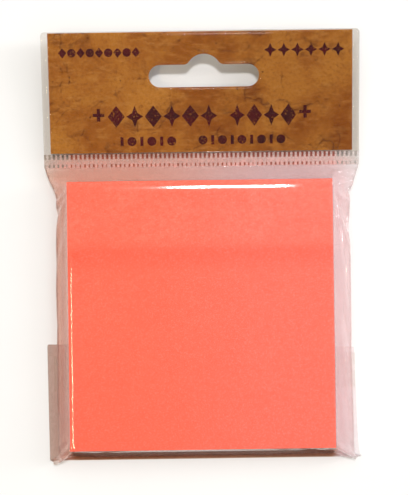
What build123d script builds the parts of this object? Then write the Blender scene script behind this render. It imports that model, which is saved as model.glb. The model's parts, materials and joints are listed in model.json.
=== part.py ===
from build123d import *
import os
from math import cos, radians, sin

# A pad of sticky notes in its retail pack: a glued block of notes lies in the pouch of a clear
# film bag, and a printed card with a hanging slot is sealed into the header pocket above it.
# The pack lies on its back. X runs across it, +Y towards the header and +Z out of the notes'
# face. The origin is the middle of the pack's footprint, on the surface it lies on.

# Pad of notes
note_width = 75.0
note_height = 76.0
note_thickness = 0.095
note_count = 100
note_offset = -0.6          # the pad has slid a little to the left in the pouch
liner_thickness = 0.12

# Clear film bag
film = 0.1                  # wall
film_gap = 0.1              # between two walls that lie together
note_clearance = 0.15       # round the pad and over its face
side_allowance = 7.5        # flat film beyond each side of the pad
side_wing = 5.0             # how far each side weld stands off the pad once it is filled
shoulder = 4.2              # pad to the heat seal, seen from above
foot = 3.9                  # pad to the folded bottom edge, seen from above
corner_margin = 1.5         # the pouch's inside stops this far short of the welds at its ends
seal_height = 3.9
seal_drop = 0.8             # the heat seal hangs this far below mid-thickness of the pad
header_height = 34.6
header_tilt = 9.5           # degrees; the header stands up a little from the surface
flap_height = 32.0
tape_thickness = 0.1
tape_height = 10.0
tape_edge_margin = 2.0      # tape to the flap's free edge
tape_side_margin = 1.5      # tape to each side of the flap

# Header card
card_thickness = 0.35
card_clearance = 0.1        # card to film, on every side
card_side_margin = 2.0      # card's side to the bag's side weld
card_end_margin = 0.3       # card's long edges to the seal and to the top edge

# Hanging slot
slot_length = 31.2
slot_height = 6.3
slot_bump_radius = 5.1
slot_bump_rise = 3.0        # bump's top above the long slot
slot_fillet = 2.0
slot_drop = 12.7            # header's top edge to the middle of the long slot
slot_offset = 1.0           # slot's middle is a little right of the card's

# Levels above the surface
back_z = film + tape_thickness
liner_z = back_z + film
note_z = liner_z + liner_thickness
face_z = note_z + note_count * note_thickness
front_z = face_z + note_clearance
pouch_middle_z = (liner_z + front_z) / 2
seal_z = pouch_middle_z - seal_drop
lip_z = liner_z + film_gap + film

# Widths
bag_width = note_width + 2 * side_allowance
bag_half = bag_width / 2
pouch_half = note_width / 2 + side_wing
card_width = bag_width - 2 * card_side_margin
card_height = header_height - 2 * card_end_margin

# Places along the pack, from the folded bottom edge to the header's top edge
header_slope = radians(header_tilt)
header_run = (seal_height + header_height) * cos(header_slope)
bag_length = foot + note_height + shoulder + header_run
fold_y = -bag_length / 2
mouth_y = fold_y + film + film_gap
note_low_y = fold_y + foot
note_high_y = note_low_y + note_height
note_y = (note_low_y + note_high_y) / 2
seal_y = note_high_y + shoulder

# The header's own plane starts at the seal's lower edge, with its Y up the header
header_plane = Plane(
    origin=(0, seal_y, seal_z),
    x_dir=(1, 0, 0),
    z_dir=(0, -sin(header_slope), cos(header_slope)),
)
card_y = seal_height + header_height / 2
slot_y = seal_height + header_height - slot_drop
thin_half = film + film_gap / 2
pocket_half = card_thickness / 2 + card_clearance
pocket_start = seal_height + card_end_margin - card_clearance
pocket_end = seal_height + header_height - card_end_margin + card_clearance


def across_pouch(y):
    """Upright plane across the pack, with its Y up."""
    return Plane.XZ.offset(-y)


def across_header(distance):
    """Plane square across the header, a distance above the seal's lower edge."""
    return Plane(
        origin=header_plane.from_local_coords((0, distance, 0)),
        x_dir=(1, 0, 0),
        z_dir=-header_plane.y_dir,
    )


def bag_section(plane, walls_middle, walls_reach, side, low, high):
    """Cross-section of the bag: two flat walls that close to a weld at each side."""
    with BuildSketch(plane) as section:
        with BuildLine():
            Polyline(
                (walls_middle - walls_reach, high),
                (walls_middle + walls_reach, high),
                (side, (low + high) / 2),
                (walls_middle + walls_reach, low),
                (walls_middle - walls_reach, low),
                (-side, (low + high) / 2),
                close=True,
            )
        make_face()
    return section.sketch


def thin_section(plane, middle, half, side):
    """Cross-section where the two walls lie together."""
    return bag_section(plane, 0, side - half, side, middle - half, middle + half)


def pouch_section(y, wall):
    """Cross-section round the pad: wall 0 is the inside, wall film the outside."""
    reach = note_width / 2 + note_clearance + wall
    side = pouch_half - 2 * (film - wall)
    return bag_section(across_pouch(y), note_offset, reach, side, liner_z - wall, front_z + wall)


def pocket_section(distance):
    """Outside of the header pocket, round the card."""
    reach = card_width / 2 + card_clearance + film
    half = pocket_half + film
    return bag_section(across_header(distance), 0, reach, bag_half, -half, half)


def hang_slot():
    """Outline of the hanging slot: a long round-ended slot with a round bump in its middle."""
    with BuildSketch(header_plane) as outline:
        with Locations((slot_offset, slot_y)):
            SlotOverall(slot_length, slot_height)
        top = slot_y + slot_height / 2
        with Locations((slot_offset, top + slot_bump_rise - slot_bump_radius)):
            Circle(slot_bump_radius)
        with Locations((slot_offset, slot_y - slot_height)):
            Rectangle(slot_length, slot_height, mode=Mode.SUBTRACT)
        corners = outline.vertices().filter_by(
            lambda v: abs(v.Y - top) < film and abs(v.X - slot_offset) < slot_bump_radius
        )
        fillet(corners, radius=slot_fillet)
    return outline.sketch


# Glued block of notes
with BuildPart() as note_block:
    with BuildSketch(Plane.XY.offset(note_z)):
        with Locations((note_offset, note_y)):
            Rectangle(note_width, note_height)
    extrude(amount=note_count * note_thickness)

# Release paper under the last note
with BuildPart() as liner_sheet:
    with BuildSketch(Plane.XY.offset(liner_z)):
        with Locations((note_offset, note_y)):
            Rectangle(note_width, note_height)
    extrude(amount=liner_thickness)

# Printed card in the header pocket
with BuildPart() as header_card:
    with BuildSketch(header_plane):
        with Locations((0, card_y)):
            Rectangle(card_width, card_height)
    extrude(amount=card_thickness / 2, both=True)
    extrude(hang_slot(), amount=card_thickness, both=True, mode=Mode.SUBTRACT)

# Film bag: pouch, heat seal, header pocket and the closing flap folded under the back
with BuildPart() as bag_film:
    lip_middle = liner_z + film_gap / 2
    outside = [
        thin_section(across_pouch(mouth_y), lip_middle, thin_half, bag_half),
        pouch_section(note_low_y - note_clearance - film, film),
        pouch_section(note_high_y + note_clearance + film, film),
        thin_section(across_header(0), 0, thin_half, bag_half),
        thin_section(across_header(seal_height), 0, thin_half, bag_half),
        pocket_section(pocket_start),
        pocket_section(pocket_end),
        thin_section(across_header(seal_height + header_height), 0, thin_half, bag_half),
    ]
    loft(outside, ruled=True)

    # Room for the pad, from the mouth to the heat seal
    inner_side = bag_half - corner_margin
    inside = [
        thin_section(across_pouch(mouth_y + film), lip_middle, film_gap / 2, inner_side),
        pouch_section(note_low_y - note_clearance, 0),
        pouch_section(note_high_y + note_clearance, 0),
        thin_section(across_header(-film), 0, film_gap / 2, inner_side),
    ]
    loft(inside, ruled=True, mode=Mode.SUBTRACT)

    # Room for the card
    with BuildSketch(header_plane):
        with Locations((0, card_y)):
            Rectangle(card_width + 2 * card_clearance, pocket_end - pocket_start)
    extrude(amount=pocket_half, both=True, mode=Mode.SUBTRACT)

    # Mouth between the two walls
    with BuildSketch(Plane.XY.offset(liner_z)):
        with Locations((0, mouth_y)):
            Rectangle(2 * inner_side, film, align=(Align.CENTER, Align.MIN))
    extrude(amount=film_gap, mode=Mode.SUBTRACT)

    # Front wall carried round the mouth as the closing flap
    with BuildSketch(Plane.YZ):
        with BuildLine():
            Polyline(
                (mouth_y, lip_z),
                (fold_y, lip_z),
                (fold_y, 0),
                (fold_y + flap_height, 0),
                (fold_y + flap_height, film),
                (fold_y + film, film),
                (fold_y + film, lip_z - film),
                (mouth_y, lip_z - film),
                close=True,
            )
        make_face()
    extrude(amount=bag_half, both=True)

    extrude(hang_slot(), amount=2 * pocket_half + film, both=True, mode=Mode.SUBTRACT)

# Adhesive tape that holds the flap to the pouch's back
with BuildPart() as flap_tape:
    with BuildSketch(Plane.XY.offset(film)):
        with Locations((0, fold_y + flap_height - tape_edge_margin)):
            Rectangle(
                bag_width - 2 * tape_side_margin,
                tape_height,
                align=(Align.CENTER, Align.MAX),
            )
    extrude(amount=tape_thickness)

note_block.part.label = "note_block"
liner_sheet.part.label = "liner_sheet"
header_card.part.label = "header_card"
bag_film.part.label = "bag_film"
flap_tape.part.label = "flap_tape"

os.makedirs("parts", exist_ok=True)
export_step(note_block.part, "parts/note_block.step")
export_step(liner_sheet.part, "parts/liner_sheet.step")
export_step(header_card.part, "parts/header_card.step")
export_step(bag_film.part, "parts/bag_film.step")
export_step(flap_tape.part, "parts/flap_tape.step")
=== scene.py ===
"""Looks of a pad of sticky notes in its clear retail bag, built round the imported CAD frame.

The pack lies on its back, +Y towards the header card and +Z out of the notes' face. Sizes named in
mm are multiplied by MM, and places come from the frame's boxes and its hanging-slot mount.
"""
import json
import math

import bpy
import numpy as np
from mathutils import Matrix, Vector, noise
from mathutils.geometry import delaunay_2d_cdt


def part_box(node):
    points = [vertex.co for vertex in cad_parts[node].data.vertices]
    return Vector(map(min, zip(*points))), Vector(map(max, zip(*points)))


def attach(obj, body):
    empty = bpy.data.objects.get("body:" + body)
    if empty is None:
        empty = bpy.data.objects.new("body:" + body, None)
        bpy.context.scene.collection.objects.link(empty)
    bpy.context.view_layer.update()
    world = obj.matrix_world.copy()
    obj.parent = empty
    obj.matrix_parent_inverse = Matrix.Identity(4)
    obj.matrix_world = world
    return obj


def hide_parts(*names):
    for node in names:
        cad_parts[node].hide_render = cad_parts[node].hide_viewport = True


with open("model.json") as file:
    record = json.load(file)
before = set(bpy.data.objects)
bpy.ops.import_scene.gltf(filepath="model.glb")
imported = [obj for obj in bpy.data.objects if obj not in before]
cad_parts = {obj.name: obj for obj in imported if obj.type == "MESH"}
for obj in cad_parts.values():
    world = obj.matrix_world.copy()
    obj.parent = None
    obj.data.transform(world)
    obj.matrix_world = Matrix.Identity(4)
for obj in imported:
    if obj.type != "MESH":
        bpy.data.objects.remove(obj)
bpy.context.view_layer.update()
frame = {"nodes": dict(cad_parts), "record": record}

MM = 0.001
SEED = 7

# Places from the frame
note_low, note_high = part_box("note_block")
card_low, card_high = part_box("header_card")
film_low, film_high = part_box("bag_film")
tape_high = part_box("flap_tape")[1]
slot_mount = next(m for m in frame["record"]["mounts"] if m["name"] == "hang_slot")
slot_at = Vector(slot_mount["pos_m"])
header_normal = Vector(slot_mount["axis"]).normalized()
header_up = Vector((0, header_normal.z, -header_normal.y))

NOTE_COUNT = 100
# Rows of a note's mesh, in mm down from its top, closer together at the end of the glued band
SHEET_LINES = (0, 6, 12, 16.5, 18, 19, 19.75, 20.5, 21.25, 22, 23, 24.5, 32, 43, 54, 65, 76)
GLUE_END = 20.5 * MM
SLOT_LENGTH = 31.2 * MM
SLOT_HEIGHT = 6.3 * MM
BUMP_RADIUS = 5.1 * MM
BUMP_RISE = 3.0 * MM
SLOT_FILLET = 2.0 * MM
CARD_THICKNESS = 0.35 * MM
SEAL_HEIGHT = 3.9 * MM
CARD_GAP = 0.3 * MM
FILM_THICKNESS = 0.05 * MM
FILM_STANDOFF = 0.12 * MM

# Colours of the film, as pairs for the bag's left and right; the last is the veil near the pad, a
# painted reflection of the pad's pink
CLEAR = ((0.955, 0.945, 0.935), (0.955, 0.945, 0.935))
PALE_MILK = ((0.80, 0.78, 0.76), (0.80, 0.78, 0.76))
PAINTED_PAD_REFLECTION = ((0.95, 0.50, 0.42), (0.95, 0.50, 0.42))

# Studio: lamps with their place and size in m, power in W, colour, and whether they are aimed
# at the pack or shine straight down
SKY_WHITE = (1.0, 0.985, 0.965, 1)
LAMPS = (
    ("key", (0.02, 0.22, 1.08), (0.10, 0.08), 6.0, (1, 1, 1), True),
    ("warm", (-0.235, -0.10, 0.75), (0.04, 0.16), 0.9, (1.0, 0.84, 0.55), False),
    ("side", (0.8, 0.15, 0.40), (0.12, 0.6), 3.0, (1, 1, 1), True),
)

bag_half = (film_high[0] - film_low[0]) / 2
note_width = note_high[0] - note_low[0]
note_x = (note_high[0] + note_low[0]) / 2
note_y = (note_high[1] + note_low[1]) / 2
fold_y = film_low[1]
card_height = (card_high[1] - card_low[1] + CARD_THICKNESS * header_normal.y) / header_normal.z
card_half = (card_high[0] - card_low[0]) / 2
card_middle = Vector([(card_low[i] + card_high[i]) / 2 for i in range(3)])


def on_header(x, up, out=0.0):
    """Point on the header: x across, up from the card's middle, out of its middle plane."""
    return Vector((x, card_middle.y, card_middle.z)) + header_up * up + header_normal * out


slot_up = (slot_at - on_header(slot_at.x, 0)).dot(header_up)
seal_top = -card_height / 2 - CARD_GAP
header_top = card_height / 2 + CARD_GAP
seal_low = seal_top - SEAL_HEIGHT
seal_y = on_header(0, seal_low).y


# ---------------------------------------------------------------- helpers

def mesh_object(name, points, faces, smooth=False):
    """A new object in the scene, from points and faces."""
    mesh = bpy.data.meshes.new(name)
    mesh.from_pydata([tuple(p) for p in points], [], [tuple(f) for f in faces])
    mesh.validate()
    mesh.update()
    if smooth:
        mesh.polygons.foreach_set("use_smooth", [True] * len(mesh.polygons))
    piece = bpy.data.objects.new(name, mesh)
    bpy.context.scene.collection.objects.link(piece)
    return piece


def add_modifier(piece, kind, **values):
    modifier = piece.modifiers.new(kind.title(), kind)
    for key, value in values.items():
        setattr(modifier, key, value)
    return modifier


def bake_modifiers(piece):
    """Turns the modifiers' result into the piece's own mesh."""
    graph = bpy.context.evaluated_depsgraph_get()
    mesh = bpy.data.meshes.new_from_object(piece.evaluated_get(graph))
    piece.modifiers.clear()
    piece.data = mesh


def grid_rim(rows, columns):
    """Indices round the outside of a grid of points, anticlockwise from its first point."""
    rim = list(range(columns)) + [r * columns + columns - 1 for r in range(1, rows)]
    rim += [(rows - 1) * columns + c for c in range(columns - 2, -1, -1)]
    return rim + [r * columns for r in range(rows - 2, 0, -1)]


def vertex_places(mesh):
    """The mesh's points as an array, one row each."""
    places = np.empty(len(mesh.vertices) * 3)
    mesh.vertices.foreach_get("co", places)
    return places.reshape(-1, 3)


def finish_piece(piece, material, slot, *nodes):
    """Gives the piece its material and body, and hides the CAD nodes that it stands for. slot is
    not used.
    """
    if material:
        piece.data.materials.append(material)
    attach(piece, "root")
    if nodes:
        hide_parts(*nodes)


class Nodes:
    """Short way to write a material's node tree."""

    def __init__(self, name):
        self.material = bpy.data.materials.new(name)
        self.material.use_nodes = True
        self.tree = self.material.node_tree
        self.tree.nodes.clear()
        self.output = self.tree.nodes.new("ShaderNodeOutputMaterial")

    def add(self, kind, inputs=(), **settings):
        node = self.tree.nodes.new("ShaderNode" + kind)
        for key, value in settings.items():
            setattr(node, key, value)
        for socket, value in dict(inputs).items():
            self.set(node.inputs[socket], value)
        return node

    def set(self, socket, value):
        if isinstance(value, bpy.types.NodeSocket):
            self.tree.links.new(value, socket)
        else:
            socket.default_value = value

    def place(self):
        return self.add("TexCoord").outputs["Object"]

    def scaled(self, x, y, z):
        return self.add("Mapping", {0: self.place(), "Scale": (x, y, z)}).outputs[0]

    def noise(self, where, scale, detail=3.0, roughness=0.5, distortion=0.0):
        values = {0: where, "Scale": scale, "Detail": detail, "Roughness": roughness,
                  "Distortion": distortion}
        return self.add("TexNoise", values).outputs["Fac"]

    def math(self, operation, a, b=0.0, clamp=False):
        return self.add("Math", {0: a, 1: b}, operation=operation, use_clamp=clamp).outputs[0]

    def ramp(self, value, low, high, start=0.0, end=1.0):
        values = {0: value, 1: low, 2: high, 3: start, 4: end}
        return self.add("MapRange", values, interpolation_type="SMOOTHSTEP").outputs[0]

    def mix(self, factor, a, b, blend="MIX"):
        node = self.add("Mix", data_type="RGBA", blend_type=blend)
        self.set(node.inputs[0], factor)
        self.set(node.inputs[6], a)
        self.set(node.inputs[7], b)
        return node.outputs[2]

    def bump(self, height, strength, distance):
        values = {"Height": height, "Strength": strength, "Distance": distance}
        return self.add("Bump", values).outputs[0]

    def finish(self, shader):
        self.tree.links.new(shader, self.output.inputs[0])
        return self.material


def rgb(red, green, blue):
    """Linear colour from the eight-bit values of a swatch."""
    def line(value):
        value = value / 255
        return value / 12.92 if value < 0.04045 else ((value + 0.055) / 1.055) ** 2.4
    return (line(red), line(green), line(blue), 1.0)


# ---------------------------------------------------------------- materials

def note_paper(name, tint, edge_tint):
    """Dyed wood-free paper: mottle, fibre and specks, painted light that makes the glued band at
    the top paler, painted shade that darkens the face towards the bottom and in a line where it
    dips at the end of the glued band, and sheets that differ a little at their edges."""
    n = Nodes(name)
    mottle = n.noise(n.scaled(1, 1, 1), 90, 4, 0.55)
    fibre = n.noise(n.scaled(1, 1, 1), 2600, 3, 0.6)
    grain = n.noise(n.scaled(0.75, 1, 1), 1050, 4, 0.62)
    specks = n.noise(n.scaled(1, 1, 1), 800, 1, 0.5)
    sheets = n.noise(n.scaled(0.02, 0.02, 1), 9000, 1, 0.5)
    up = n.add("SeparateXYZ", {0: n.add("NewGeometry").outputs["Normal"]}).outputs[2]
    side = n.ramp(n.math("ABSOLUTE", up), 0.75, 0.4)
    down = n.math("SUBTRACT", note_high[1], n.add("SeparateXYZ", {0: n.place()}).outputs[1])
    down = n.math("ADD", down, n.math("MULTIPLY", n.math("SUBTRACT", mottle, 0.5), 1.2 * MM))
    # Painted shade: a darker line where the face dips at the end of the glued band.
    line = n.math("MULTIPLY", n.ramp(down, 17.5 * MM, GLUE_END), n.ramp(down, 27 * MM, 21 * MM))
    # Darker tints for painted shade (the deeper one also serves the paper's own mottle and grain
    # below), and a paler one for painted light.
    deeper = [tint[0], tint[1] * 0.82, tint[2] * 0.76, 1]
    pressed = [tint[0], tint[1] * 0.64, tint[2] * 0.50, 1]
    painted_light_tint = [tint[0], tint[1] * 1.26, tint[2] * 1.42, 1]
    # Painted light makes the glued band at the top paler; painted shade darkens the face towards
    # the bottom and along the line.
    face = n.mix(n.ramp(down, 20 * MM, 15 * MM), tint, painted_light_tint)
    face = n.mix(n.math("MULTIPLY", n.ramp(down, 30 * MM, 76 * MM), 0.45), face, deeper)
    face = n.mix(line, face, pressed)
    face = n.mix(n.ramp(mottle, 0.3, 0.7), face, n.mix(0.5, face, deeper))
    face = n.mix(n.ramp(grain, 0.3, 0.7, 0.0, 0.8), face, deeper)
    face = n.mix(n.ramp(fibre, 0.45, 0.75, 0.0, 0.2), face, [0.5 + 0.5 * c for c in tint[:3]] + [1])
    face = n.mix(n.ramp(specks, 0.72, 0.8, 0.0, 0.35), face, [0.6 * c for c in tint[:3]] + [1])
    edge = n.mix(n.ramp(sheets, 0.3, 0.7), edge_tint, [c * 0.72 for c in edge_tint[:3]] + [1])
    colour = n.mix(side, face, edge)
    height = n.math("ADD", n.math("MULTIPLY", fibre, 0.5), grain)
    shader = n.add("BsdfPrincipled", {
        "Base Color": colour,
        "Roughness": n.ramp(fibre, 0.2, 0.8, 0.62, 0.78),
        "Normal": n.bump(height, 0.25, 0.00003),
        "Specular IOR Level": 0.35,
        "Sheen Weight": 0.08,
        "Sheen Roughness": 0.5,
    })
    return n.finish(shader.outputs[0])


def parchment(n):
    """Colour and height of the header's printed ground: aged parchment with stains and creases."""
    where = n.scaled(1, 1, 1)
    clouds = n.noise(where, 62, 5, 0.55, 0.4)
    stains = n.noise(n.scaled(1, 1.6, 1), 105, 6, 0.68, 1.0)
    grain = n.noise(where, 1300, 4, 0.7)
    weave = n.noise(n.scaled(0.35, 1, 1), 900, 3, 0.6)
    specks = n.noise(where, 520, 2, 0.5)
    sway = n.add("TexNoise", {0: where, "Scale": 45, "Detail": 4}).outputs["Color"]
    sway = n.add("VectorMath", {0: sway, 1: (0.03, 0.03, 0.03)}, operation="MULTIPLY").outputs[0]
    warped = n.add("VectorMath", {0: where, 1: sway}, operation="ADD").outputs[0]
    cracks = n.add("TexVoronoi", {0: warped, "Scale": 70}, feature="DISTANCE_TO_EDGE").outputs[0]
    crease = n.math("MULTIPLY", n.ramp(cracks, 0.035, 0.0), n.ramp(stains, 0.46, 0.62))
    colour = n.mix(n.ramp(clouds, 0.34, 0.66), rgb(142, 76, 4), rgb(178, 116, 40))
    colour = n.mix(n.math("MULTIPLY", n.ramp(stains, 0.5, 0.7), 0.62), colour, rgb(104, 46, 0))
    colour = n.mix(n.math("MULTIPLY", n.ramp(weave, 0.45, 0.75), 0.38), colour, rgb(192, 136, 66))
    colour = n.mix(n.math("MULTIPLY", n.ramp(grain, 0.42, 0.72), 0.42), colour, rgb(112, 60, 10))
    colour = n.mix(n.math("MULTIPLY", n.ramp(specks, 0.72, 0.78), 0.75), colour, rgb(64, 24, 2))
    colour = n.mix(n.math("MULTIPLY", crease, 0.6), colour, rgb(84, 38, 4))
    height = n.math("SUBTRACT", n.math("MULTIPLY", grain, 0.4), n.math("MULTIPLY", crease, 0.5))
    return colour, height, grain, stains


def card_print():
    """Header card: printed front, plain brown board on the back, pale fibre on the cut edges."""
    n = Nodes("header_print")
    colour, height, grain, _ = parchment(n)
    normal = n.add("NewGeometry").outputs["Normal"]
    out = n.add("VectorMath", {0: normal, 1: tuple(header_normal)}, operation="DOT_PRODUCT")
    front = n.ramp(out.outputs["Value"], 0.5, 0.9)
    back = n.ramp(out.outputs["Value"], -0.5, -0.9)
    board = n.mix(n.ramp(grain, 0.4, 0.7), rgb(164, 128, 88), rgb(142, 104, 66))
    edge = n.mix(n.ramp(grain, 0.4, 0.6), rgb(206, 190, 160), rgb(168, 148, 116))
    colour = n.mix(front, n.mix(back, edge, board), colour)
    shader = n.add("BsdfPrincipled", {
        "Base Color": colour,
        "Roughness": n.ramp(grain, 0.3, 0.7, 0.5, 0.68),
        "Normal": n.bump(height, 0.35, 0.00006),
        "Specular IOR Level": 0.08,
    })
    return n.finish(shader.outputs[0])


def worn_ink():
    """Dark red ink that has rubbed off in specks, with the parchment showing through."""
    n = Nodes("worn_ink")
    ground, height, grain, stains = parchment(n)
    flecks = n.noise(n.scaled(1, 1, 1), 1900, 3, 0.65)
    patches = n.noise(n.scaled(1, 1, 1), 420, 3, 0.6)
    worn = n.math("MULTIPLY", n.ramp(flecks, 0.55, 0.66), n.ramp(patches, 0.36, 0.6))
    ink = n.mix(n.ramp(stains, 0.35, 0.7), rgb(78, 0, 6), rgb(50, 0, 2))
    ink = n.mix(n.math("MULTIPLY", n.ramp(grain, 0.5, 0.75), 0.4), ink, rgb(100, 14, 10))
    shader = n.add("BsdfPrincipled", {
        "Base Color": n.mix(n.math("MULTIPLY", worn, 0.85), ink, ground),
        "Roughness": n.ramp(flecks, 0.3, 0.7, 0.42, 0.62),
        "Normal": n.bump(height, 0.3, 0.00005),
        "Specular IOR Level": 0.08,
    })
    return n.finish(shader.outputs[0])


def near_pad(n, reach):
    """One over the pad and fading to nothing at a distance from its outline."""
    middle = (note_x, note_y, 0)
    half = (note_width / 2, (note_high[1] - note_low[1]) / 2, 1)
    off = n.add("VectorMath", {0: n.place(), 1: middle}, operation="SUBTRACT").outputs[0]
    off = n.add("VectorMath", {0: off}, operation="ABSOLUTE").outputs[0]
    off = n.add("VectorMath", {0: off, 1: half}, operation="SUBTRACT").outputs[0]
    off = n.add("VectorMath", {0: off, 1: (0, 0, 0)}, operation="MAXIMUM").outputs[0]
    distance = n.add("VectorMath", {0: off}, operation="LENGTH").outputs["Value"]
    outside = n.ramp(distance, 0.0, 0.5 * MM)
    return n.math("MULTIPLY", n.ramp(distance, reach, 0.0), outside), outside


def clear_film(name, haze, clear, pad_reflection_amount=0.0, milk=PALE_MILK, pad_reflection_tint=PAINTED_PAD_REFLECTION,
               foot=None, base=0.012):
    """Thin clear film: it lets light straight through, with a sharp gloss that grows at a slant
    and a faint milky veil of fine scratches.

    Colours come in pairs, for the bag's left and right; where the two differ, the darker one is
    painted shade and the paler one painted light. clear tints what shines through, milk is the
    veil, and pad_reflection_tint is the veil close to the pad, a painted reflection of the pad's
    pink, where pad_reflection_amount thickens it.
    foot is the tint below the pad, painted shade where the pad's shadow falls on the doubled-over
    film, which is also less glossy there. base is the gloss square on."""
    n = Nodes(name)
    where = n.scaled(1, 1, 1)
    place = n.add("SeparateXYZ", {0: n.place()}).outputs
    # Left and right colours of a pair: a darker side is painted shade, a paler side painted light.
    across = n.ramp(place[0], -25 * MM, 25 * MM)

    def pair(colours):
        left, right = [tuple(colour) + (1,) for colour in colours]
        return left if left == right else n.mix(across, left, right)

    scuffs = n.noise(where, 700, 4, 0.6, 0.3)
    soft = n.noise(where, 110, 3, 0.5)
    slant = n.add("LayerWeight", {"Blend": 0.5}).outputs["Facing"]
    gloss = n.math("ADD", n.math("MULTIPLY", n.math("POWER", slant, 4.0), 0.85), base, True)
    normal = n.bump(n.math("ADD", soft, n.math("MULTIPLY", scuffs, 0.15)), 0.08, 0.0002)
    tint, body = pair(clear), pair(milk)
    amount = n.ramp(scuffs, 0.3, 0.75, haze * 0.6, haze * 1.5)
    # Painted reflection of the pad: the veil turns pink near the pad and is thicker off it.
    if pad_reflection_amount:
        near, outside = near_pad(n, 11 * MM)
        body = n.mix(near, body, pair(pad_reflection_tint))
        amount = n.math("ADD", amount, n.math("MULTIPLY", outside, pad_reflection_amount))
    # Painted shade: a darker tint below the pad, where the pad's shadow falls.
    if foot:
        below = n.ramp(place[1], note_low[1] + 0.2 * MM, note_low[1] - 0.5 * MM)
        off = n.math("ABSOLUTE", n.math("SUBTRACT", place[0], note_x))
        half = note_width / 2
        below = n.math("MULTIPLY", below, n.ramp(off, half + 2 * MM, half - 1 * MM))
        tint = n.mix(below, tint, tuple(foot) + (1,))
        amount = n.math("MULTIPLY", amount, n.ramp(below, 0.0, 1.0, 1.0, 0.2))
        tucked = n.ramp(place[1], note_low[1] - 0.8 * MM, note_low[1] - 1.1 * MM)
        tucked = n.math("MULTIPLY", tucked, below)
        gloss = n.math("MULTIPLY", gloss, n.ramp(tucked, 0.0, 1.0, 1.0, 0.12))
    through = n.add("BsdfTransparent", {"Color": tint})
    shine = n.add("BsdfAnisotropic", {
        "Color": (1, 1, 1, 1),
        "Roughness": 0.06,
        "Normal": normal,
    })
    veil = n.add("BsdfDiffuse", {"Color": body, "Roughness": 0.3})
    veiled = n.add("MixShader", {0: amount, 1: through.outputs[0], 2: veil.outputs[0]})
    shader = n.add("MixShader", {0: gloss, 1: veiled.outputs[0], 2: shine.outputs[0]})
    return n.finish(shader.outputs[0])


def clear_tape():
    """Transfer tape: a strip of clear adhesive, faintly milky and blotched by trapped air."""
    n = Nodes("clear_tape")
    blotch = n.noise(n.scaled(1, 1, 1), 260, 4, 0.6)
    through = n.add("BsdfTransparent", {"Color": (0.99, 0.985, 0.98, 1)})
    body = n.add("BsdfPrincipled", {
        "Base Color": n.mix(blotch, rgb(214, 206, 186), rgb(236, 230, 214)),
        "Roughness": 0.45,
    })
    factor = n.ramp(blotch, 0.3, 0.7, 0.02, 0.07)
    shader = n.add("MixShader", {0: factor, 1: through.outputs[0], 2: body.outputs[0]})
    return n.finish(shader.outputs[0])


def plain_stage():
    """Matt pale board, hardly mottled."""
    n = Nodes("pale_floor")
    grain = n.noise(n.scaled(1, 1, 1), 60, 4, 0.6)
    shader = n.add("BsdfPrincipled", {
        "Base Color": n.mix(grain, (0.80, 0.80, 0.80, 1), (0.82, 0.82, 0.82, 1)),
        "Roughness": 0.9,
        "Specular IOR Level": 0.1,
    })
    return n.finish(shader.outputs[0])


# ---------------------------------------------------------------- pad of notes

def pad_relief(x, y):
    """Height of the notes' face over its plain: the glued band at the top and a slow wave."""
    from_top = note_high[1] - y
    glue = 0.5 - 0.5 * np.tanh((from_top - GLUE_END) / (1.6 * MM))
    valley = np.exp(-(((from_top - GLUE_END) / (1.1 * MM)) ** 2))
    wave = np.sin((x - note_low[0]) * 61 + 0.4) * np.sin((y - note_low[1]) * 47 + 1.0)
    rise, dip, swell, drop = 0.035, 0.03, 0.025, 0.02
    return (rise * glue - dip * valley + swell * wave - drop) * MM


def note_pad():
    """One hundred sheets, each a closed slab that sits a little out of line with the others."""
    random = np.random.default_rng(SEED)
    keep, wander, jitter, most, twist = 0.9, 0.014, 0.022, 0.075, 0.0004
    paper_share = 0.93
    low, high = Vector(note_low), Vector(note_high)
    pitch = (high.z - low.z) / NOTE_COUNT
    x = np.linspace(low.x, high.x, 13)
    y = high.y - np.array(SHEET_LINES) / SHEET_LINES[-1] * (high.y - low.y)
    grid_x, grid_y = np.meshgrid(x, y[::-1])
    rows, columns = grid_x.shape
    layer = rows * columns
    rim = grid_rim(rows, columns)
    points, faces = [], []
    drift = np.zeros(2)
    for sheet in range(NOTE_COUNT):
        drift = keep * drift + random.normal(0, wander, 2)
        shift = np.clip(drift + random.normal(0, jitter, 2), -most, most)
        turn = random.normal(0, twist)
        start = len(points)
        lift = pad_relief(grid_x, grid_y) * (sheet + 1) / NOTE_COUNT
        moved_x = grid_x + shift[0] * MM - (grid_y - note_y) * turn
        moved_y = grid_y + shift[1] * MM + (grid_x - note_x) * turn
        bottom = low.z + pitch * sheet + lift
        for level in (bottom, bottom + pitch * paper_share):
            points += list(zip(moved_x.ravel(), moved_y.ravel(), level.ravel()))
        for r in range(rows - 1):
            for c in range(columns - 1):
                a = start + r * columns + c
                quad = (a, a + 1, a + columns + 1, a + columns)
                faces += [tuple(reversed(quad)), tuple(v + layer for v in quad)]
        for i, a in enumerate(rim):
            b = rim[(i + 1) % len(rim)]
            faces.append((start + a, start + b, start + b + layer, start + a + layer))
    return mesh_object("note_pad", points, faces)


# ---------------------------------------------------------------- printed ornaments

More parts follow.
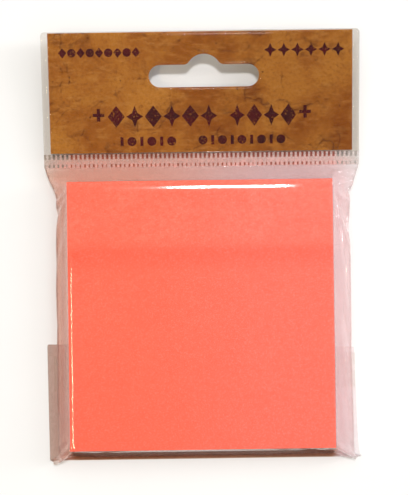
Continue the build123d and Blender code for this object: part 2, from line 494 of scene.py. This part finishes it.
def shape_points(kind, width, height):
    """Outline of one printed shape, centred on zero."""
    if kind == "disc":
        turns = [2 * math.pi * i / 40 for i in range(40)]
        return [(width / 2 * math.cos(a), height / 2 * math.sin(a)) for a in turns]
    if kind == "lozenge":
        return [(width / 2, 0), (0, height / 2), (-width / 2, 0), (0, -height / 2)]
    if kind == "bar":
        return [(width / 2, -height / 2), (width / 2, height / 2),
                (-width / 2, height / 2), (-width / 2, -height / 2)]
    if kind == "plus":
        w, h, arm = width / 2, height / 2, width / 7
        return [(arm, -h), (arm, -arm), (w, -arm), (w, arm), (arm, arm), (arm, h),
                (-arm, h), (-arm, arm), (-w, arm), (-w, -arm), (-arm, -arm), (-arm, -h)]
    if kind == "star":
        turns = [math.pi / 4 * i for i in range(8)]
        reach = [1.0, 0.46] * 4
        return [(width / 2 * r * math.cos(a), height / 2 * r * math.sin(a))
                for a, r in zip(turns, reach)]
    raise ValueError(kind)


# Rows of shapes: kinds in turn, count, the row's middle across and up the card, span and shape
# height, in mm
ORNAMENTS = (
    ("maker_place", ("lozenge", "disc"), 9, -28.5, 11.4, 23.4, 2.9),
    ("corner_place", ("star",), 6, 29.4, 11.6, 23.0, 3.9),
    ("headline_left", ("lozenge", "star"), 6, -10.9, -6.7, 31.6, 6.2),
    ("headline_right", ("star", "lozenge"), 4, 17.6, -6.7, 19.4, 6.2),
    ("headline_plus_left", ("plus",), 1, -29.1, -6.2, 3.6, 3.6),
    ("headline_plus_right", ("plus",), 1, 29.6, -5.9, 3.6, 3.6),
    ("line_left", ("bar", "disc"), 6, -15.5, -13.8, 17.0, 2.6),
    ("line_right", ("disc", "bar"), 9, 11.6, -13.6, 25.0, 2.6),
)


def ornament_row(name, kinds, count, across, up, span, height):
    """A row of printed shapes, raised off the card by a film of ink."""
    ink_low, ink_high = 0.002, 0.02
    base = CARD_THICKNESS / 2 / MM
    pitch = span / count
    points, faces = [], []
    for i in range(count):
        kind = kinds[i % len(kinds)]
        width = min(pitch * 0.92, height * (0.34 if kind == "bar" else 1.0))
        tall = height * (1.0 if kind != "disc" else width / height)
        middle = across + (i - (count - 1) / 2) * pitch
        outline = [(x + middle, y + up) for x, y in shape_points(kind, width, tall)]
        start, total = len(points), len(outline)
        for out in (base + ink_low, base + ink_high):
            points += [on_header(x * MM, y * MM, out * MM) for x, y in outline]
        faces.append([start + k for k in range(total)][::-1])
        faces.append([start + total + k for k in range(total)])
        for k in range(total):
            j = (k + 1) % total
            faces.append((start + k, start + j, start + total + j, start + total + k))
    return mesh_object("print_" + name, points, faces)


# ---------------------------------------------------------------- film

def slot_outline():
    """Points round the hanging slot, in (across, up) on the header."""
    half, tall = SLOT_LENGTH / 2, SLOT_HEIGHT / 2
    bump_up = tall + BUMP_RISE - BUMP_RADIUS
    round_up = tall + SLOT_FILLET
    round_x = math.sqrt((BUMP_RADIUS + SLOT_FILLET) ** 2 - (round_up - bump_up) ** 2)
    meet = math.atan2(round_up - bump_up, round_x)

    def arc(x, y, radius, first, last, count):
        turns = [first + (last - first) * i / (count - 1) for i in range(count)]
        return [(x + radius * math.cos(a), y + radius * math.sin(a)) for a in turns]

    quarter = math.pi / 2
    points = arc(half - tall, 0, tall, -quarter, quarter, 25)
    points += arc(round_x, round_up, SLOT_FILLET, -quarter, meet - math.pi, 9)
    points += arc(0, bump_up, BUMP_RADIUS, meet, math.pi - meet, 21)[1:-1]
    points += arc(-round_x, round_up, SLOT_FILLET, -meet, -quarter, 9)
    points += arc(tall - half, 0, tall, quarter, 3 * quarter, 25)
    return [(slot_at.x + x, slot_up + y) for x, y in points]


def inside(point, outline):
    """Whether a point lies within a closed outline, by counting crossings."""
    x, y = point
    hit = False
    for (ax, ay), (bx, by) in zip(outline, outline[1:] + outline[:1]):
        if (ay > y) != (by > y) and x < (bx - ax) * (y - ay) / (by - ay) + ax:
            hit = not hit
    return hit


def header_rim(corner):
    """Points round the header film, in (across, up), with its upper corners rounded."""
    outline = []
    for side, first in ((1, 0), (-1, 90)):
        for i in range(7):
            a = math.radians(first + 90 * i / 6)
            outline.append((side * (bag_half - corner) + corner * math.cos(a),
                            header_top - corner + corner * math.sin(a)))
    outline += [(-bag_half, seal_top), (bag_half, seal_top)]
    rim = []
    for (ax, ay), (bx, by) in zip(outline, outline[1:] + outline[:1]):
        pieces = max(1, round(math.hypot(bx - ax, by - ay) / (1.2 * MM)))
        rim += [(ax + (bx - ax) * i / pieces, ay + (by - ay) * i / pieces) for i in range(pieces)]
    return rim


def header_flat():
    """Points and triangles of the header film laid flat, with the slot cut out."""
    corner, step, edge_gap = 1.2 * MM, 1.1 * MM, 0.5 * MM
    rim, slot = header_rim(corner), slot_outline()
    columns = np.arange(-card_half + 0.3 * MM, card_half, step)
    beyond = card_half + np.array([0.0, 0.35, 0.7, 1.2, 1.7]) * MM
    columns = np.concatenate([-beyond, columns, beyond])
    rows = np.arange(seal_top + edge_gap, header_top - 0.3 * MM, step)
    grid = []
    for x in columns:
        for y in rows:
            near = min(math.hypot(x - sx, y - sy) for sx, sy in slot)
            in_corner = abs(x) > bag_half - corner and y > header_top - corner
            if near > edge_gap and not inside((x, y), slot) and not in_corner:
                grid.append((float(x), float(y)))
    edges = [(i, (i + 1) % len(rim)) for i in range(len(rim))]
    edges += [(len(rim) + i, len(rim) + (i + 1) % len(slot)) for i in range(len(slot))]
    out = delaunay_2d_cdt([Vector(p) for p in rim + slot + grid], edges, [], 1, 1e-7)
    places, triangles = out[0], out[2]
    kept = []
    for tri in triangles:
        middle = (sum(places[i].x for i in tri) / 3, sum(places[i].y for i in tri) / 3)
        if not inside(middle, slot):
            kept.append(tri)
    return places, kept


def header_sheet(side):
    """One wall of the header pocket: side is 1 in front of the card and -1 behind it."""
    phase = np.random.default_rng(SEED + 3).uniform(0, 6, 4)
    clear_of_card, half_weld, weld_step = 0.07 * MM, 0.035 * MM, 0.35 * MM
    ripple_height, margin_wave = 0.02, 0.12
    places, triangles = header_flat()
    points = []
    for p in places:
        to_card = max(abs(p.x) - card_half, abs(p.y) - card_height / 2)
        over_card = 1 - np.clip(to_card / weld_step, 0, 1)
        pocket = (CARD_THICKNESS / 2 + clear_of_card) * over_card
        ripple = math.sin(p.x * 420 + phase[0]) * math.sin(p.y * 260 + phase[1])
        ripple += 0.6 * math.sin(p.x * 150 - p.y * 210 + phase[2])
        margin = math.sin(p.y * 330 + phase[3]) * (1 - over_card) * margin_wave * MM
        points.append(on_header(p.x, p.y, side * (pocket + half_weld)
                                + abs(ripple) * side * ripple_height * MM * over_card + margin))
    return points, [tri if side > 0 else tri[::-1] for tri in triangles]


def film_header():
    """Both walls of the header pocket, as one piece."""
    front, front_faces = header_sheet(1)
    back, back_faces = header_sheet(-1)
    shift = len(front)
    faces = [tuple(f) for f in front_faces] + [tuple(i + shift for i in f) for f in back_faces]
    piece = mesh_object("film_header", front + back, faces, smooth=True)
    add_modifier(piece, "SOLIDIFY", thickness=FILM_THICKNESS, offset=0)
    bake_modifiers(piece)
    return piece


def lines(*stretches):
    """Running positions from stretches of (length, step)."""
    places = [0.0]
    for length, step in stretches:
        count = max(1, round(length / step))
        places += list(places[-1] + np.arange(1, count + 1) * length / count)
    return np.array(places)


class Sheet:
    """Film laid out flat on a grid: columns across the bag, rows down from the heat seal."""

    def __init__(self, index, across, down):
        self.index, self.across, self.down = index, across, down
        self.sets = []
        stretch, shear, bend = 1.0, 0.35, 0.06
        self.link(0, 1, 2, stretch)
        self.link(1, 0, 2, stretch)
        self.link(1, 1, 2, shear)
        self.link(1, -1, 2, shear)
        self.link(0, 2, 4, bend)
        self.link(2, 0, 4, bend)

    def link(self, rows, columns, period, strength):
        """Adds springs from each point to the one that many rows and columns on, in sets that
        share no point."""
        height, width = self.index.shape
        r, c = np.meshgrid(np.arange(height - rows), np.arange(width), indexing="ij")
        fits = (c + columns >= 0) & (c + columns < width)
        r, c = r[fits], c[fits]
        a = self.index[r, c]
        b = self.index[r + rows, c + columns]
        flat = np.hypot(self.across[c + columns] - self.across[c],
                        self.down[r + rows] - self.down[r])
        step = r if rows else c
        group = (step // (period // 2)) % 2 if period == 4 else step % 2
        for g in (0, 1):
            pick = group == g
            self.sets.append((a[pick], b[pick], flat[pick], strength, period == 4))


# Sizes for the pouch, which is laid out and relaxed in millimetres: the bag's half width, the
# pad's box, the seal's lower edge as (y, z), the folded edge's y and its height off the table
half_mm = bag_half / MM
pad_low_mm, pad_high_mm = np.array(note_low) / MM, np.array(note_high) / MM
seal_mm = tuple((np.array(on_header(0, seal_low)) / MM)[1:])
fold_mm = fold_y / MM
CREASE = 0.3


def wall_lengths():
    """Flat lengths of the pouch's front and back walls, from the seal round the pad to the fold."""
    slack = 0.6
    shoulder = math.dist(seal_mm, (pad_high_mm[1], pad_high_mm[2]))
    foot = math.dist((pad_low_mm[1], pad_high_mm[2]), (fold_mm, CREASE))
    front = shoulder + (pad_high_mm[1] - pad_low_mm[1]) + foot + slack
    back = (math.dist(seal_mm, (pad_high_mm[1], CREASE)) + (pad_high_mm[1] - pad_low_mm[1])
            + (pad_low_mm[1] - fold_mm) - CREASE)
    return front, back


def flat_lines():
    """Lines across the bag, rows down its front wall and rows down its back wall, laid flat and
    finer near the welds, the seal and the fold."""
    fine, middle_across, middle_down = 0.6, 2.36, 2.1
    from_weld, from_seal, from_fold = 9.6, 13, 12
    front_length, back_length = wall_lengths()
    across = lines((from_weld, fine), (2 * (half_mm - from_weld), middle_across), (from_weld, fine))
    shared = lines((from_seal, fine), (back_length - from_seal - from_fold, middle_down),
                   (from_fold, fine))
    rest = lines((front_length - back_length, fine))[1:] + back_length
    return across - half_mm, np.concatenate([shared, rest]), shared


def along(path, distance):
    """Point at a distance along a path of (y, z) corners."""
    legs = [math.dist(a, b) for a, b in zip(path, path[1:])]
    ends = np.concatenate([[0], np.cumsum(legs)])
    y = np.interp(distance, ends, [p[0] for p in path])
    z = np.interp(distance, ends, [p[1] for p in path])
    return y, z


def draped(front, back, wing, down, shared):
    """Places of both walls before they relax: laid along the pad, with the side welds drawn in."""
    front_length, back_length = wall_lengths()
    over, under, beside = pad_high_mm[2] + 0.15, 0.25, 0.15
    top, foot = pad_high_mm[1] + 0.1, pad_low_mm[1] - 0.1
    drawn_in = half_mm - 2.6
    front_path = [seal_mm, (top, over), (foot, over), (fold_mm, CREASE)]
    back_path = [seal_mm, (top, under), (fold_mm + 0.2, under), (fold_mm - 4, under)]
    weld_y = seal_mm[0] - down
    weld_z = np.interp(down, [0, 8, back_length - 8, back_length, front_length],
                       [seal_mm[1], 4.6, 4.4, 3.4, CREASE])
    weld_x = np.interp(down, [0, 9, back_length - 14, front_length],
                       [half_mm, drawn_in, drawn_in, half_mm])
    last_shared = weld_y[len(shared) - 1]
    tail = np.interp(down, [back_length, front_length], [last_shared, fold_mm])
    weld_y = np.where(down > back_length, tail, weld_y)
    edge_low, edge_high = pad_low_mm[0] - beside, pad_high_mm[0] + beside
    left = np.clip((edge_low - wing) / (edge_low + half_mm), 0, 1)
    right = np.clip((wing - edge_high) / (half_mm - edge_high), 0, 1)
    share = left + right
    places = np.zeros((int(back.max()) + 1, 3))
    for index, path, rows in ((front, front_path, down), (back, back_path, shared)):
        y, z = along(path, rows)
        for r in range(len(rows)):
            on_right = np.where(right > 0, edge_high + (weld_x[r] - edge_high) * right, wing)
            on_left = edge_low + (-weld_x[r] - edge_low) * left
            places[index[r], 0] = np.where(left > 0, on_left, on_right)
            places[index[r], 1] = y[r] + (weld_y[r] - y[r]) * share
            places[index[r], 2] = z[r] + (weld_z[r] - z[r]) * share
    return places


def crown_height(points):
    """How far the front wall stands off the notes: a low rise just inside the pad's edges."""
    top_rise, side_rise = 0.42, 0.16
    x, y = points[:, 0], points[:, 1]
    from_top = np.maximum(pad_high_mm[1] - y, 0)
    from_side = np.maximum(np.minimum(x - pad_low_mm[0], pad_high_mm[0] - x), 0)
    crown = top_rise * (1 - np.exp(-from_top / 1.33)) * np.exp(-(from_top / 16) ** 2)
    crown *= np.clip(from_side / 9, 0, 1) ** 0.6
    return crown + side_rise * (1 - np.exp(-from_side / 1.3)) * np.exp(-(from_side / 14) ** 2)


def hold_lengths(points, weight, sheets):
    """Moves the ends of every spring towards its flat length. Bending springs only push."""
    tiny = 1e-9
    for sheet in sheets:
        for a, b, flat, strength, bend in sheet.sets:
            gap = points[b] - points[a]
            length = np.sqrt((gap * gap).sum(1)) + tiny
            wrong = length - flat
            if bend:
                wrong = np.minimum(wrong, 0)
            both = weight[a] + weight[b] + tiny
            move = gap * (strength * wrong / length / both)[:, None]
            points[a] += move * weight[a][:, None]
            points[b] -= move * weight[b][:, None]


def keep_clear(points, weight, is_back):
    """Moves film out of the pad by the nearest side, onto the table and inside the folded edge."""
    standoff, table, never = FILM_STANDOFF / MM, 0.22, 99
    box_low = pad_low_mm - np.array([standoff, standoff, 0.0])
    box_high = pad_high_mm + np.array([standoff, standoff, standoff])
    box_low[2] = CREASE
    crown = crown_height(points)
    over = np.concatenate([points - box_low, box_high - points], axis=1)
    over[:, 5] += crown
    over[~is_back, 2] = never
    over[is_back, 5] = never
    held = (over > 0).all(1) & (weight > 0)
    side = over.argmin(1)
    for s in range(6):
        rows = np.flatnonzero(held & (side == s))
        axis = s % 3
        points[rows, axis] = box_low[axis] if s < 3 else box_high[axis]
        if s == 5:
            points[rows, 2] += crown[rows]
    free = weight > 0
    points[free, 2] = np.maximum(points[free, 2], table)
    tucked = is_back & (np.abs(points[:, 0]) < half_mm - 4)
    points[tucked, 1] = np.maximum(points[tucked, 1], fold_mm + 0.15)


def pouch_grid():
    """The bag's front and back walls below the heat seal, relaxed round the pad.

    Both walls keep their flat size, so the film that has no room at the pad's corners buckles
    as the real film does. The walls share their outermost columns, where they are welded."""
    random = np.random.default_rng(SEED + 11)
    uneven, half_seal, fall = 0.03, 0.03, 0.0015
    wing, down, shared = flat_lines()
    width, shared_rows = len(wing), len(shared)
    front = np.arange(len(down) * width).reshape(len(down), width)
    back = front[:shared_rows].copy()
    inner = shared_rows * (width - 2)
    back[:, 1:-1] = np.arange(front.size, front.size + inner).reshape(shared_rows, width - 2)
    start = draped(front, back, wing, down, shared)
    points = start + random.normal(0, uneven, start.shape)
    weight = np.ones(len(start))
    pinned = np.concatenate([front[0], back[0], front[-1]])
    weight[pinned] = 0
    points[pinned] = start[pinned]
    points[front[0], 2] += half_seal
    points[back[0][1:-1], 2] -= half_seal
    is_back = np.zeros(len(start), bool)
    is_back[back[:, 1:-1]] = True
    sheets = [Sheet(front, wing, down), Sheet(back, wing, shared)]
    for _ in range(900):
        points[weight > 0, 2] -= fall
        hold_lengths(points, weight, sheets)
        keep_clear(points, weight, is_back)
    return points, front, back, wing


def push_out(mesh, low, high, margin):
    """Moves points that subdivision drew into a box out through its nearest side."""
    places = vertex_places(mesh)
    low, high = np.array(low) - margin, np.array(high) + margin
    low[2] = CREASE * MM
    over = np.concatenate([places - low, high - places], axis=1)
    inside_box = (over > 0).all(1)
    side = over.argmin(1)
    for s in range(6):
        rows = np.flatnonzero(inside_box & (side == s))
        places[rows, s % 3] = low[s % 3] if s < 3 else high[s % 3]
    mesh.vertices.foreach_set("co", places.ravel())


def crinkle(mesh):
    """Small sharp creases where the film is crushed at the four corners, and long ones down the
    side wings."""
    corner_reach, wing_reach = 11 * MM, 7 * MM
    sharp_height, wide_height, streak_height = 0.08, 0.14, 0.16
    places = vertex_places(mesh)
    zone = np.zeros(len(places))
    for x in (-bag_half, bag_half):
        for y in (seal_y - 2 * MM, fold_y):
            near = np.hypot(places[:, 0] - x, places[:, 1] - y)
            zone = np.maximum(zone, np.clip(1 - near / corner_reach, 0, 1) ** 0.7)
    weld = np.clip(1 - (bag_half - np.abs(places[:, 0])) / wing_reach, 0, 1)
    zone += 0.35 * weld * (1 - zone)
    still = (places[:, 2] < 0.15 * MM) | (places[:, 1] > seal_y - 1.2 * MM)
    zone[still] = 0
    weld[still] = 0
    for i in np.flatnonzero(zone > 0.02):
        vertex = mesh.vertices[i]
        place = vertex.co.copy()
        sharp = noise.ridged_multi_fractal(place * 420 + Vector((3, 7, 1)), 0.9, 2.1, 3, 1.0, 2.0)
        wide = noise.noise(place * 210 + Vector((9, 2, 5)))
        streak = noise.noise(Vector((place.x * 700, place.y * 55, place.z * 700)))
        deep = zone[i] * (sharp_height * (sharp - 1.2) + wide_height * wide)
        deep += streak_height * weld[i] * streak
        vertex.co = place + vertex.normal * deep * MM


def film_pouch():
    """Pouch, folded bottom edge and closing flap, as one sheet of film."""
    points, front, back, wing = pouch_grid()
    last = len(wing) - 2
    quads, welded = [], []
    for index, flip in ((front, False), (back, True)):
        for r in range(index.shape[0] - 1):
            for c in range(index.shape[1] - 1):
                if c in (0, last):
                    welded.append(len(quads))
                quad = (index[r, c], index[r + 1, c], index[r + 1, c + 1], index[r, c + 1])
                quads.append(tuple(int(i) for i in (quad[::-1] if flip else quad)))
    # The closing flap runs on from the front wall, round the fold and under the back
    flap_from = len(quads)
    flap_end = tape_high[1] / MM + 2.6
    turn = [(fold_mm - 0.08, 0.17), (fold_mm + 0.02, 0.05)]
    heights = turn + [(y, 0.035) for y in np.linspace(fold_mm + 0.8, flap_end, 22)]
    previous = front[-1]
    extra = []
    for k, (y, z) in enumerate(heights):
        row = np.arange(len(points) + len(extra), len(points) + len(extra) + len(wing))
        wave = 0.02 * np.sin(wing * 0.35 + y * 0.2) if k > len(turn) else 0 * wing
        # The flap was cut a little askew: it stands out on the left and draws in on the right
        share = max(0, y - fold_mm) / (flap_end - fold_mm)
        left, right = wing[0] - 0.35 * share, wing[-1] - 1.7 * share ** 0.4
        spread = np.interp(wing, [wing[0], wing[-1]], [left, right])
        slant = -0.9 * share * wing / wing[-1]
        extra += list(zip(spread, y + slant, z + np.abs(wave)))
        for c in range(len(wing) - 1):
            quads.append((int(previous[c]), int(row[c]), int(row[c + 1]), int(previous[c + 1])))
        previous = row
    points = np.concatenate([points, np.array(extra)]) * MM
    piece = mesh_object("film_pouch", points, quads, smooth=True)
    # Painted shade and light: the left colours are darker than the right ones. The pink veil near
    # the pad is a painted reflection of it, and the dark tint below the pad painted shade of its
    # shadow.
    pad_reflection_tint = ((1.0, 0.52, 0.42), (1.0, 0.74, 0.75))
    milk = ((0.74, 0.68, 0.64), (0.92, 0.90, 0.90))
    dark = (0.87, 0.80, 0.74)
    pouch_tint = ((0.975, 0.932, 0.905), (0.965, 0.952, 0.956))
    flap_tint = ((0.84, 0.78, 0.75), (0.985, 0.982, 0.985))
    weld_tint = ((0.82, 0.75, 0.71), (0.93, 0.91, 0.91))
    for material in (clear_film("pouch_film", 0.012, pouch_tint, 0.13, milk, pad_reflection_tint, dark),
                     clear_film("flap_film", 0.06, flap_tint, 0.05, milk, pad_reflection_tint, dark),
                     clear_film("weld_film", 0.05, weld_tint, 0.05, milk, pad_reflection_tint)):
        piece.data.materials.append(material)
    slots = np.zeros(len(quads), int)
    slots[flap_from:] = 1
    slots[welded] = 2
    piece.data.polygons.foreach_set("material_index", [int(slot) for slot in slots])
    add_modifier(piece, "SUBSURF", levels=1, render_levels=1)
    bake_modifiers(piece)
    crinkle(piece.data)
    push_out(piece.data, note_low, note_high, FILM_STANDOFF)
    add_modifier(piece, "SOLIDIFY", thickness=FILM_THICKNESS, offset=0)
    bake_modifiers(piece)
    return piece


def seal_band():
    """Heat seal pressed by a knurled jaw: two rows of clear pressed cells in a milky band.

    The cells are sunk into both faces. They carry the piece's second material, tinted dark red as
    painted shade of the header's shadow behind them and a painted reflection of the pad, and its
    third beyond the pad's width, tinted grey as painted shade, where only the floor lies behind
    them."""
    random = np.random.default_rng(SEED + 5)
    cell_pitch, per_cell = 1.27 * MM, 10
    upper_from, lower_from, lower_to = 0.63, 0.04, 0.28
    columns = int(round(2 * bag_half / cell_pitch)) * per_cell
    across = np.linspace(-bag_half, bag_half, columns + 1)
    ups = lines((0.15, 0.15), (1.1, 0.22), (0.15, 0.15), (0.9, 0.3),
                (0.12, 0.12), (1.3, 0.2), (0.12, 0.12))
    ups = seal_low + ups / ups[-1] * SEAL_HEIGHT
    share = (ups[:-1] + ups[1:]) / 2
    share = (share - seal_low) / SEAL_HEIGHT
    upper_row = share > upper_from
    lower_row = (share > lower_from) & (share < lower_to)
    cells = columns // per_cell
    upper_width = per_cell // 2
    lower_width = np.clip(random.normal(3.2, 0.8, cells), 1, 4).round().astype(int)
    step = np.arange(columns) % per_cell
    cell = np.arange(columns) // per_cell
    pressed = np.zeros((len(ups) - 1, columns), bool)
    pressed[upper_row] = step < upper_width
    pressed[lower_row] = step < lower_width[cell]
    width, rows = len(across), len(ups)
    touched = np.zeros((rows, width))
    touched[:-1, :-1] += pressed
    touched[1:, :-1] += pressed
    touched[:-1, 1:] += pressed
    touched[1:, 1:] += pressed
    half_thick, sunk, edge = 0.075, 0.055, 0.02
    thick = (half_thick - sunk * (touched >= 4) - edge * ((touched > 0) & (touched < 4))) * MM
    sway = 0.03 * MM * np.sin(across * 190 + 1.0) + 0.02 * MM * np.sin(across * 420)
    points, faces, materials = [], [], []
    for side in (1, -1):
        for r in range(rows):
            for c in range(width):
                points.append(on_header(across[c], ups[r], side * thick[r, c] + sway[c]))
    layer = width * rows
    for r in range(rows - 1):
        for c in range(width - 1):
            a = r * width + c
            quad = (a, a + 1, a + width + 1, a + width)
            faces += [quad, tuple(v + layer for v in reversed(quad))]
            beyond = abs(across[c]) > note_width / 2 + 0.5 * MM
            materials += [int(pressed[r, c]) * (2 if beyond else 1)] * 2
    rim = grid_rim(rows, width)
    for i, a in enumerate(rim):
        b = rim[(i + 1) % len(rim)]
        faces.append((a + layer, b + layer, b, a))
        materials.append(0)
    piece = mesh_object("film_seal", points, faces)
    # Painted shade: the milky band is darker on the left. The cells are tinted dark as painted
    # shade of the floor in the header's shadow, reddish near the pad as a painted reflection of it,
    # and the pink veil near the pad is a painted reflection too.
    milk = ((0.52, 0.42, 0.36), (0.62, 0.56, 0.54))
    pad_reflection_tint = ((0.90, 0.31, 0.24), (0.90, 0.36, 0.32))
    cell_shade_tint = ((0.73, 0.46, 0.37), (0.73, 0.47, 0.42))
    cell_pink_reflection = ((0.60, 0.19, 0.12), (0.60, 0.22, 0.17))
    end_shade_tint = ((0.66, 0.60, 0.54), (0.68, 0.65, 0.63))
    for material in (clear_film("milky_seal", 0.30, CLEAR, 0.06, milk, pad_reflection_tint),
                     clear_film("pressed_seal", 0.16, cell_shade_tint, milk=cell_pink_reflection),
                     clear_film("pressed_end", 0.05, end_shade_tint)):
        piece.data.materials.append(material)
    piece.data.polygons.foreach_set("material_index", materials)
    return piece


# ---------------------------------------------------------------- build

pad_paper = note_paper("note_paper", rgb(253, 110, 85), rgb(246, 96, 74))
finish_piece(note_pad(), pad_paper, "note_paper", "note_block")

liner_paper = note_paper("liner_paper", rgb(226, 222, 208), rgb(210, 204, 190))
for node, material in (("header_card", card_print()), ("liner_sheet", liner_paper),
                       ("flap_tape", clear_tape())):
    mesh = frame["nodes"][node].data
    mesh.materials.clear()
    mesh.materials.append(material)

ink = worn_ink()
for row in ORNAMENTS:
    finish_piece(ornament_row(*row), ink, "header_print")

# Painted shade: the film's tint is darker on the header's right.
header_tint = (CLEAR[0], (0.918, 0.904, 0.885))
header_film = clear_film("header_film", 0.004, header_tint, base=0.006)
finish_piece(film_pouch(), None, "clear_film", "bag_film")
finish_piece(film_header(), header_film, "clear_film", "bag_film")
finish_piece(seal_band(), None, "clear_film", "bag_film")


# ---------------------------------------------------------------- stage, light and camera

def studio():
    """Soft daylight from the top right, darker towards the lower left. The small key lamp nearly
    overhead throws the short shadows and the white glint, the warm one the glint down the left."""
    bpy.ops.mesh.primitive_plane_add(size=6)
    floor = bpy.context.object
    floor.name = "studio_floor"
    floor.location.z = -0.1 * MM
    floor.data.materials.append(plain_stage())
    world = bpy.data.worlds.new("studio")
    world.use_nodes = True
    tree = world.node_tree

    def node(kind, *values, **settings):
        made = tree.nodes.new("ShaderNode" + kind)
        for key, value in settings.items():
            setattr(made, key, value)
        for socket, value in zip(made.inputs, values):
            if isinstance(value, bpy.types.NodeSocket):
                tree.links.new(value, socket)
            elif value is not None:
                socket.default_value = value
        return made.outputs

    # Brightness of the sky by direction, with a dark ring near the horizon and a dimmer zenith
    way = node("TexCoord")["Generated"]
    height = node("SeparateXYZ", way)[2]
    side = node("VectorMath", way, (0.64, 0.77, 0.0), operation="DOT_PRODUCT")["Value"]
    side = node("MapRange", side, -0.7, 0.7, 0.2, 1.75)[0]
    ring = node("MapRange", height, 0.46, 0.72, 0.03, 1.0, interpolation_type="SMOOTHSTEP")[0]
    top = node("MapRange", height, 0.86, 0.98, 1.0, 0.35, interpolation_type="SMOOTHSTEP")[0]
    level = node("Math", side, ring, operation="MULTIPLY")[0]
    level = node("Math", level, top, operation="MULTIPLY")[0]
    background = tree.nodes["Background"]
    tree.links.new(level, background.inputs[1])
    background.inputs[0].default_value = SKY_WHITE
    bpy.context.scene.world = world

    target = Vector((0, 0, 5 * MM))
    for name, place, size, power, colour, aimed in LAMPS:
        data = bpy.data.lights.new(name, "AREA")
        data.shape = "RECTANGLE"
        data.size, data.size_y = size
        data.energy = power
        data.color = colour
        light = bpy.data.objects.new(name, data)
        light.location = place
        if aimed:
            light.rotation_euler = (target - light.location).to_track_quat("-Z", "Y").to_euler()
        bpy.context.scene.collection.objects.link(light)


def camera():
    """Straight above, as in the photo, 400 mm over the notes' face and turned by a hair."""
    distance, across, up = 400 * MM, 1.24 * MM, 18.99 * MM
    sensor, lens, turn = 36, 103.1, -0.8
    data = bpy.data.cameras.new("camera")
    data.sensor_width = sensor
    data.lens = lens
    view = bpy.data.objects.new("camera", data)
    view.location = (note_x + across, note_y + up, note_high[2] + distance)
    view.rotation_euler = (0, 0, math.radians(turn))
    bpy.context.scene.collection.objects.link(view)
    bpy.context.scene.camera = view


studio()
camera()
scene = bpy.context.scene
scene.view_settings.view_transform = "Standard"
scene.cycles.transparent_max_bounces = 32
scene.cycles.max_bounces = 12
